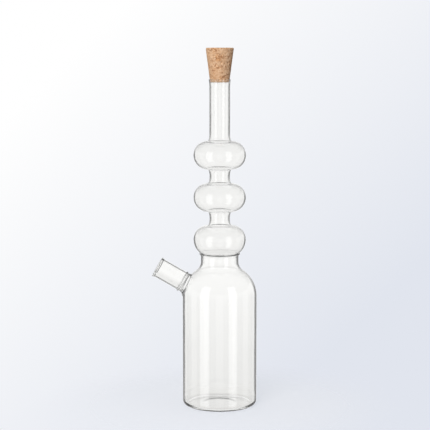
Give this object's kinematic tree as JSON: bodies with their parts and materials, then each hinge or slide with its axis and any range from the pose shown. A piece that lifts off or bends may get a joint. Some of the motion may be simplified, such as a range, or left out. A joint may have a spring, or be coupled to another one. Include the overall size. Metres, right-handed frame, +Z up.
{
  "type": "oil and vinegar dispenser",
  "caption": "Clear glass oil bottle with a side pouring spout, and a vinegar vial of stacked bulbs standing in its mouth, closed by a tapered cork.",
  "frame": {"origin": "centre of the bottle's flat foot, on the bottle's axis", "axes": "+Z up along the bottle and the vial, -X the way the spout points, Y across"},
  "size_m": [0.1052, 0.0746, 0.3592],
  "materials": {
    "bottle_glass": "clear, smooth blown borosilicate glass",
    "vial_glass": "clear, smooth blown borosilicate glass",
    "cork": "matt agglomerated cork with darker grains"
  },
  "bodies": {
    "bottle": {"oil_bottle": "bottle_glass"},
    "vial": {"vinegar_vial": "vial_glass"},
    "cork": {"cork_stopper": "cork"}
  },
  "joints": [
    {"name": "vial_lift", "type": "slide", "parent": "bottle", "child": "vial", "axis": [0, 0, 1], "range_m": [0, 0.0164]},
    {"name": "cork_pull", "type": "slide", "parent": "vial", "child": "cork", "axis": [0, 0, 1], "range_m": [0, 0.0129]}
  ]
}
